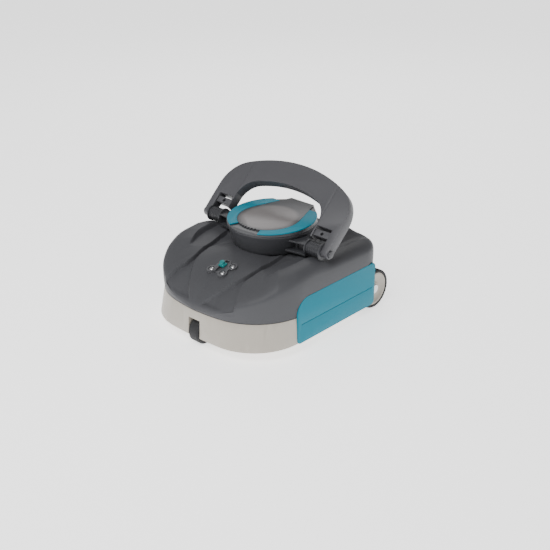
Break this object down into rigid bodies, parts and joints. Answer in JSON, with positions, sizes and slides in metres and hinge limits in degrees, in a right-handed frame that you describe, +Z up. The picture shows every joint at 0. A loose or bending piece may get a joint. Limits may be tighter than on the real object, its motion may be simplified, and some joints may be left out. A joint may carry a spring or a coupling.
{
  "type": "pool cleaner",
  "caption": "Cordless pool cleaner: dark shell on a pale hull, teal side covers, turning jet cap on a round turret, swinging carry handle, rear wheels and a small front roller.",
  "frame": {"origin": "on the floor under the middle of the bounding box", "axes": "+Z up, -Y towards the nose, +X to the left side of a driver facing the nose"},
  "size_m": [0.3432, 0.411, 0.2913],
  "materials": {
    "shell_grey": "fine matt texture, moulded, dark cool grey",
    "hull_beige": "satin, moulded, warm light grey",
    "seal_black": "soft black rubber",
    "teal_cover": "satin teal, moulded",
    "teal_trim": "satin teal, moulded",
    "teal_knob": "teal-green, moulded",
    "stainless": "stainless",
    "drum_grey": "matt charcoal, moulded",
    "cap_grey": "satin mid grey, moulded",
    "handle_grey": "matt dark grey, moulded",
    "tyre_black": "rubber",
    "disc_beige": "satin",
    "tray_grey": "matt grey, moulded",
    "flap_rubber": "soft rubber",
    "mesh_white": "woven mesh moulded into a frame",
    "motor_metal": "satin",
    "impeller_white": "moulded",
    "box_white": "moulded",
    "battery_wrap": "shrink-wrapped cells",
    "board_green": "printed circuit board"
  },
  "bodies": {
    "chassis": {"battery_pack": "battery_wrap", "bracket_left": "drum_grey", "bracket_right": "drum_grey", "bracket_screws": "stainless", "bulkhead": "tray_grey", "charge_cap_hinge": "drum_grey", "charge_socket": "seal_black", "control_board": "board_green", "dry_box": "box_white", "dry_box_lid": "box_white", "filter_frame": "tray_grey", "filter_mesh": "mesh_white", "filter_struts": "tray_grey", "front_axle": "stainless", "hull_screws": "stainless", "lower_hull": "hull_beige", "motor_can": "motor_metal", "motor_seal": "seal_black", "plate_screws": "stainless", "pump_base": "tray_grey", "shell_seal": "seal_black", "side_panel_left": "teal_cover", "side_panel_right": "teal_cover", "switch_plate": "drum_grey", "tray_pin": "stainless", "turret_drum": "drum_grey", "upper_shell": "shell_grey", "wheel_axle_left": "stainless", "wheel_axle_right": "stainless"},
    "handle": {"handle_grip": "handle_grey", "handle_end_left": "handle_grey", "handle_end_right": "handle_grey", "hinge_pin_left": "drum_grey", "hinge_pin_right": "drum_grey"},
    "lock_left": {"lock_slider_left": "drum_grey"},
    "lock_right": {"lock_slider_right": "drum_grey"},
    "nozzle": {"nozzle_cap": "cap_grey", "cap_trim_left": "teal_trim", "cap_trim_right": "teal_trim", "cap_seal": "seal_black", "jet_nozzle": "seal_black"},
    "rotor": {"motor_shaft": "stainless", "impeller": "impeller_white"},
    "front_roller": {"front_hub": "drum_grey", "front_tyre": "tyre_black"},
    "wheel_left": {"wheel_tyre_left": "tyre_black", "wheel_disc_left": "disc_beige"},
    "wheel_right": {"wheel_tyre_right": "tyre_black", "wheel_disc_right": "disc_beige"},
    "switch": {"power_slider": "teal_knob"},
    "tray": {"filter_tray": "tray_grey", "flap_pin": "stainless"},
    "flap": {"inlet_flap": "flap_rubber"},
    "socket_cap": {"charge_cap": "flap_rubber"}
  },
  "joints": [
    {"name": "handle_tilt", "type": "hinge", "parent": "chassis", "child": "handle", "pos_m": [0, 0, 0.1776], "axis": [1, 0, 0], "range_deg": [-17, 116]},
    {"name": "lock_left_slide", "type": "slide", "parent": "handle", "child": "lock_left", "axis": [0, 0.7314, 0.682], "range_m": [-0.0064, 0]},
    {"name": "lock_right_slide", "type": "slide", "parent": "handle", "child": "lock_right", "axis": [0, 0.7314, 0.682], "range_m": [-0.0064, 0]},
    {"name": "nozzle_turn", "type": "hinge", "parent": "chassis", "child": "nozzle", "pos_m": [0, 0.0204, 0.1956], "axis": [0, 0, 1], "range_deg": [-30, 30]},
    {"name": "rotor_spin", "type": "hinge", "parent": "chassis", "child": "rotor", "pos_m": [0, 0.0204, 0.16], "axis": [0, 0, 1], "continuous": true},
    {"name": "front_roller_spin", "type": "hinge", "parent": "chassis", "child": "front_roller", "pos_m": [0, -0.1785, 0.027], "axis": [1, 0, 0], "continuous": true},
    {"name": "wheel_left_spin", "type": "hinge", "parent": "chassis", "child": "wheel_left", "pos_m": [-0.145, 0.1635, 0.042], "axis": [1, 0, 0], "continuous": true},
    {"name": "wheel_right_spin", "type": "hinge", "parent": "chassis", "child": "wheel_right", "pos_m": [0.145, 0.1635, 0.042], "axis": [1, 0, 0], "continuous": true},
    {"name": "power_slide", "type": "slide", "parent": "chassis", "child": "switch", "axis": [0, -0.9563, -0.2924], "range_m": [0, 0.01]},
    {"name": "tray_open", "type": "hinge", "parent": "chassis", "child": "tray", "pos_m": [0, 0.103, 0.0265], "axis": [1, 0, 0], "range_deg": [0, 70]},
    {"name": "flap_lift", "type": "hinge", "parent": "tray", "child": "flap", "pos_m": [0, -0.066, 0.0277], "axis": [1, 0, 0], "range_deg": [0, 55]},
    {"name": "socket_cap_open", "type": "hinge", "parent": "chassis", "child": "socket_cap", "pos_m": [0, 0.1818, 0.122], "axis": [1, 0, 0], "range_deg": [0, 110]}
  ]
}
